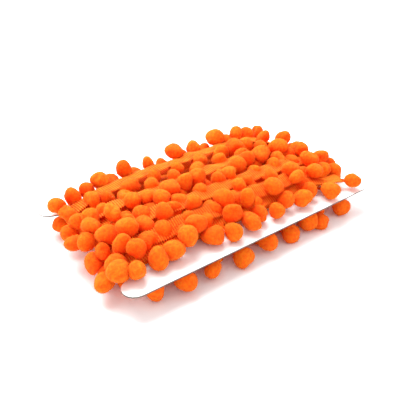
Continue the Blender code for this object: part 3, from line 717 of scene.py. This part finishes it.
finish = {
    "pomColour": (0.81, 0.143, 0.0035),
    # deep red for the painted shade on pompoms and tape, and the tone of the pompoms' flecks
    "pomShadeAndFleck": (0.77, 0.034, 0.0007),
    "pomPale": (0.82, 0.2, 0.0065),
    "tapeColour": (0.82, 0.225, 0.014),
    # painted shade in the tape's grooves, and the tone of the flecks of the tape and the stalks
    "tapeGrooveShadeAndFleck": (0.77, 0.07, 0.0022),
    "paper": (0.93, 0.925, 0.92),
    "paperEdgeAndShade": (0.11, 0.09, 0.075),
    "floor": (0.95, 0.95, 0.95),
    "sheen": (1.0, 0.3, 0.08),
    "sheenRough": 0.45,
    "gloss": 0.15,
    "paintedLight": (1.0, 0.02, 0.0),  # painted light: all the yarn gives off a little red light of its own, for light bounced between yarns
    "paintedLightStrength": 0.055,
    "glow": 0.25,  # share of the light that spreads inside the yarn
    "glowReach": (1.0, 0.22, 0.03),  # of red, green and blue, in the scale below
    "glowScale": 3.5 * mm,
    "paintedShadeShare": 0.5,  # most that the painted shade takes where a pompom or a neighbour is close
    "paperGrain": 0.985,  # tone of the board's darker fibres
    "levelFrom": 0.5,  # the board shows its face, not its cut edge, where its normal is steeper
}

# Waves a metre of the mottling and of the flecks, depth of the relief, roughness, weight of the
# sheen, and the most that a fleck takes of the deeper tone.
grains = {
    "pompom": {"mottle": 620, "fleck": 2200, "relief": 0.6 * mm, "rough": 0.9, "sheen": 0.2, "most": 0.6},
    "tape": {"mottle": 900, "fleck": 3600, "relief": 0.3 * mm, "rough": 0.85, "sheen": 0.15, "most": 0.35},
    "nap": {"mottle": 900, "fleck": 3200, "relief": 0.2 * mm, "rough": 0.85, "sheen": 0.15},
    "stalk": {"mottle": 900, "fleck": 4200, "relief": 0.2 * mm, "rough": 0.85, "sheen": 0.15},
    "paper": {"mottle": 120, "fleck": 1500, "relief": 0.03 * mm, "rough": 0.55},
}

fibre = {
    "mottleDetail": 3,
    "fleckDetail": 2,
    "fleckRough": 0.7,
    "mottleShare": 0.7,
    "fleckShare": 0.3,
    "toneFrom": 0.35,  # what the noise gives between these two is spread over all the tones
    "toneTo": 0.65,
}

weave = {
    "ribFrom": -1.0,  # a rib has the grooves' painted shade at this height of its wave
    "ribTo": 0.3,  # and its own from this height up
    "stitchRows": 3,  # half waves from the middle of the tape to its edge
    "stitchRise": 0.18,
    "ribRise": 0.3,
}


def addNode(tree, kind, **values):
    node = tree.nodes.new(kind)
    for name, value in values.items():
        setattr(node, name, value)
    return node


def feed(tree, socket, value):
    # Links another node's output to the socket, or sets a colour or a number on it.
    if isinstance(value, bpy.types.NodeSocket):
        tree.links.new(value, socket)
    elif isinstance(value, tuple):
        socket.default_value = (*value, 1)
    else:
        socket.default_value = value


def calculate(tree, operation, *values):
    node = addNode(tree, "ShaderNodeMath", operation=operation)
    for socket, value in zip(node.inputs, values):
        feed(tree, socket, value)
    return node.outputs[0]


def remap(tree, value, fromMin=0.0, fromMax=1.0, toMin=0.0, toMax=1.0):
    # What lies from fromMin to fromMax, spread from toMin to toMax and kept between them.
    node = addNode(tree, "ShaderNodeMapRange")
    ends = {"Value": value, "From Min": fromMin, "From Max": fromMax, "To Min": toMin, "To Max": toMax}
    for name, end in ends.items():
        feed(tree, node.inputs[name], end)
    return node.outputs["Result"]


def mixColours(tree, share, first, second):
    # Colour = first * (1 - share) + second * share.
    mix = addNode(tree, "ShaderNodeMix", data_type="RGBA")
    feed(tree, mix.inputs["Factor"], share)
    feed(tree, mix.inputs["A"], first)
    feed(tree, mix.inputs["B"], second)
    return mix.outputs["Result"]


def readAttribute(tree, name):
    return addNode(tree, "ShaderNodeAttribute", attribute_name=name).outputs["Fac"]


def fibreGroup():
    # Tone and height of short fibres: coarse mottling plus fine flecks of noise.
    group = bpy.data.node_groups.new("fibreDetail", "ShaderNodeTree")
    inputs = (("Place", "NodeSocketVector"), ("Mottle", "NodeSocketFloat"), ("Fleck", "NodeSocketFloat"))
    for name, kind in inputs:
        group.interface.new_socket(name, in_out="INPUT", socket_type=kind)
    for name in ("Tone", "Height"):
        group.interface.new_socket(name, in_out="OUTPUT", socket_type="NodeSocketFloat")
    start = addNode(group, "NodeGroupInput")
    end = addNode(group, "NodeGroupOutput")
    mottle = addNode(group, "ShaderNodeTexNoise")
    mottle.inputs["Detail"].default_value = fibre["mottleDetail"]
    fleck = addNode(group, "ShaderNodeTexNoise")
    fleck.inputs["Detail"].default_value = fibre["fleckDetail"]
    fleck.inputs["Roughness"].default_value = fibre["fleckRough"]
    for noise, scale in ((mottle, "Mottle"), (fleck, "Fleck")):
        feed(group, noise.inputs["Vector"], start.outputs["Place"])
        feed(group, noise.inputs["Scale"], start.outputs[scale])
    coarse = calculate(group, "MULTIPLY", mottle.outputs["Fac"], fibre["mottleShare"])
    both = calculate(group, "MULTIPLY_ADD", fleck.outputs["Fac"], fibre["fleckShare"], coarse)
    feed(group, end.inputs["Tone"], remap(group, both, fibre["toneFrom"], fibre["toneTo"]))
    feed(group, end.inputs["Height"], both)
    return group


fibreDetail = fibreGroup()


def startMaterial(name, grain):
    # A new material with its roughness, and its fibres over Object coordinates.
    made = bpy.data.materials.new(name)
    made.use_nodes = True
    tree = made.node_tree
    shader = tree.nodes["Principled BSDF"]
    shader.inputs["Roughness"].default_value = grain["rough"]
    place = addNode(tree, "ShaderNodeTexCoord")
    fibres = addNode(tree, "ShaderNodeGroup", node_tree=fibreDetail)
    feed(tree, fibres.inputs["Place"], place.outputs["Object"])
    feed(tree, fibres.inputs["Mottle"], grain["mottle"])
    feed(tree, fibres.inputs["Fleck"], grain["fleck"])
    return made, tree, shader, fibres


def addBump(tree, shader, height, grain):
    bump = addNode(tree, "ShaderNodeBump")
    bump.inputs["Distance"].default_value = grain["relief"]
    bump.inputs["Strength"].default_value = 1.0
    feed(tree, bump.inputs["Height"], height)
    feed(tree, shader.inputs["Normal"], bump.outputs["Normal"])


def addSheenAndPaintedLight(shader, grain):
    # Soft sheen, little gloss, light that spreads inside the yarn, and a faint red painted glow.
    shader.inputs["Sheen Weight"].default_value = grain["sheen"]
    shader.inputs["Sheen Roughness"].default_value = finish["sheenRough"]
    shader.inputs["Sheen Tint"].default_value = (*finish["sheen"], 1)
    shader.inputs["Specular IOR Level"].default_value = finish["gloss"]
    # Painted light: a faint red glow from the yarn, though it is no lamp.
    shader.inputs["Emission Color"].default_value = (*finish["paintedLight"], 1)
    shader.inputs["Emission Strength"].default_value = finish["paintedLightStrength"]
    shader.inputs["Subsurface Weight"].default_value = finish["glow"]
    shader.inputs["Subsurface Radius"].default_value = finish["glowReach"]
    shader.inputs["Subsurface Scale"].default_value = finish["glowScale"]


def addPaintedShadeAndFlecks(tree, shader, fibres, colour, fleckColour, grain):
    # Painted shade in deep red near pompoms and close neighbours, and the flecks' own tone at each fleck.
    paintedShade = calculate(tree, "MULTIPLY", readAttribute(tree, "paintedShade"), finish["paintedShadeShare"])
    shaded = mixColours(tree, paintedShade, colour, finish["pomShadeAndFleck"])
    flecks = remap(tree, fibres.outputs["Tone"], toMin=grain["most"], toMax=0.0)
    feed(tree, shader.inputs["Base Color"], mixColours(tree, flecks, shaded, fleckColour))


def makePomYarn():
    # Velvety clipped yarn: each pompom has its own tint, flecks of fibre, and deep red painted shade
    # where close neighbours crowd it.
    grain = grains["pompom"]
    made, tree, shader, fibres = startMaterial("pomYarn", grain)
    tinted = mixColours(tree, readAttribute(tree, "tint"), finish["pomColour"], finish["pomPale"])
    addPaintedShadeAndFlecks(tree, shader, fibres, tinted, finish["pomShadeAndFleck"], grain)
    addSheenAndPaintedLight(shader, grain)
    addBump(tree, shader, fibres.outputs["Height"], grain)
    return made


def makePlainYarn(name, grain, first, second):
    # Yarn with flecks of tone between two colours.
    made, tree, shader, fibres = startMaterial(name, grain)
    feed(tree, shader.inputs["Base Color"], mixColours(tree, fibres.outputs["Tone"], first, second))
    addSheenAndPaintedLight(shader, grain)
    addBump(tree, shader, fibres.outputs["Height"], grain)
    return made


def makeTapeYarn():
    # Ribbed tape: grooves between the ribs by cos(2 pi * rib number), with painted shade in them, rows of
    # stitches along it by cos(pi * stitch rows * across), and fibre flecks over both.
    grain = grains["tape"]
    made, tree, shader, fibres = startMaterial("tapeYarn", grain)
    turn = calculate(tree, "MULTIPLY", readAttribute(tree, "ribNumber"), 2 * math.pi)
    rib = calculate(tree, "COSINE", turn)
    row = calculate(tree, "MULTIPLY", readAttribute(tree, "across"), weave["stitchRows"] * math.pi)
    stitch = calculate(tree, "COSINE", row)
    height = calculate(tree, "MULTIPLY_ADD", stitch, weave["stitchRise"], fibres.outputs["Height"])
    height = calculate(tree, "MULTIPLY_ADD", rib, weave["ribRise"], height)
    # Painted shade: the grooves between the ribs are darker red.
    ribShare = remap(tree, rib, weave["ribFrom"], weave["ribTo"])
    ribbed = mixColours(tree, ribShare, finish["tapeGrooveShadeAndFleck"], finish["tapeColour"])
    addPaintedShadeAndFlecks(tree, shader, fibres, ribbed, finish["tapeGrooveShadeAndFleck"], grain)
    addSheenAndPaintedLight(shader, grain)
    addBump(tree, shader, height, grain)
    return made


def makePaper(name, face, side):
    # White board: fine fibre grain on its faces, and a dark brown on the faces whose normal lies level:
    # partly the cut edge's own colour, partly painted shade on the board's sides.
    grain = grains["paper"]
    made, tree, shader, fibres = startMaterial(name, grain)
    darker = tuple(finish["paperGrain"] * c for c in face)
    toned = mixColours(tree, fibres.outputs["Tone"], darker, face)
    place = addNode(tree, "ShaderNodeTexCoord")
    parts = addNode(tree, "ShaderNodeSeparateXYZ")
    feed(tree, parts.inputs["Vector"], place.outputs["Normal"])
    upright = calculate(tree, "ABSOLUTE", parts.outputs["Z"])
    isFace = calculate(tree, "GREATER_THAN", upright, finish["levelFrom"])
    # Painted shade: the level side faces get the dark edge colour, partly the cut edge's own.
    feed(tree, shader.inputs["Base Color"], mixColours(tree, isFace, side, toned))
    addBump(tree, shader, fibres.outputs["Height"], grain)
    return made


pomYarn = makePomYarn()
napYarn = makePlainYarn("napYarn", grains["nap"], finish["pomColour"], finish["pomPale"])
stalkYarn = makePlainYarn("stalkYarn", grains["stalk"], finish["tapeGrooveShadeAndFleck"], finish["pomColour"])
tapeYarn = makeTapeYarn()
cardPaper = makePaper("cardPaper", finish["paper"], finish["paperEdgeAndShade"])
print("materials made")

path = wholePath()
roots, middles = pomPlaces(path)
middles = settle(roots, middles, tapeLines(path))
roots, middles = crowd(roots, middles, path)
outside = shown(middles)
print("pompoms settled:", len(middles), "of which shown:", int(outside.sum()))

trimTape, tapeLength = tapeMesh(middles)
print("tape made, metres:", round(float(tapeLength), 3))
chances = ballChances(roots, middles)
near = neighboursOf(middles)
shownOnes = someOf(chances, near, outside)
innerOnes = someOf(chances, near, ~outside)
pompoms = ballPiece("pompoms", middles[outside], *shownOnes, ball["cage"])
innerPompoms = ballPiece("innerPompoms", middles[~outside], *innerOnes, ball["innerCage"])
pomNap = napPiece("pomNap", middles[outside], *shownOnes)
stalks = stalkPiece("stalks", roots, middles)
print("pompoms made")

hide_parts("wound_trim")
for piece in (pompoms, innerPompoms, pomNap, stalks):
    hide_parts("wound_trim")

cardNode = bpy.data.objects["card"]
cardNode.data.materials.clear()
cardNode.data.materials.append(cardPaper)

studio = {
    "pitch": 30.66,  # degrees, the camera looks down by
    "yaw": 38.30,  # degrees, and turns from the card's width towards its length
    "from": (-192.0, -235.7, 178.1),  # mm from the middle of the card's top
    "focal": 593.3,  # pixels of the 400-pixel frame
    "frame": 400,
    "sensor": 36.0,
    "floorHalf": 3.0,
    "world": 1.07,
    "lampPower": 27.0,
    "lampSize": 1.1,
    "lampFrom": (0.05, 0.6, 1.0),
}


def setStudio():
    # Camera, floor, soft light from above and an even pale surround.
    scene = bpy.context.scene
    data = bpy.data.cameras.new("camera")
    data.sensor_width = studio["sensor"]
    data.lens = studio["sensor"] * studio["focal"] / studio["frame"]
    camera = bpy.data.objects.new("camera", data)
    topMiddle = np.array([cardMiddle[0], cardMiddle[1], cardHigh[2]])
    camera.location = topMiddle + np.array(studio["from"]) * mm
    camera.rotation_euler = (math.radians(90 - studio["pitch"]), 0, -math.radians(studio["yaw"]))
    scene.collection.objects.link(camera)
    scene.camera = camera

    half = studio["floorHalf"]
    corners = [(-half, -half, 0), (half, -half, 0), (half, half, 0), (-half, half, 0)]
    mesh = bpy.data.meshes.new("floor")
    mesh.from_pydata(corners, [], [(0, 1, 2, 3)])
    mesh.materials.append(makePaper("floorPaint", finish["floor"], finish["floor"]))
    floor = bpy.data.objects.new("floor", mesh)
    scene.collection.objects.link(floor)

    lamp = bpy.data.lights.new("softBox", "AREA")
    lamp.shape = "DISK"
    lamp.size = studio["lampSize"]
    lamp.energy = studio["lampPower"]
    holder = bpy.data.objects.new("softBox", lamp)
    holder.location = studio["lampFrom"]
    away = -holder.location
    holder.rotation_euler = away.to_track_quat("-Z", "Y").to_euler()
    scene.collection.objects.link(holder)

    world = bpy.data.worlds.new("surround")
    world.use_nodes = True
    world.node_tree.nodes["Background"].inputs["Color"].default_value = (1, 1, 1, 1)
    world.node_tree.nodes["Background"].inputs["Strength"].default_value = studio["world"]
    scene.world = world
    scene.view_settings.view_transform = "Standard"


setStudio()
print("studio set")
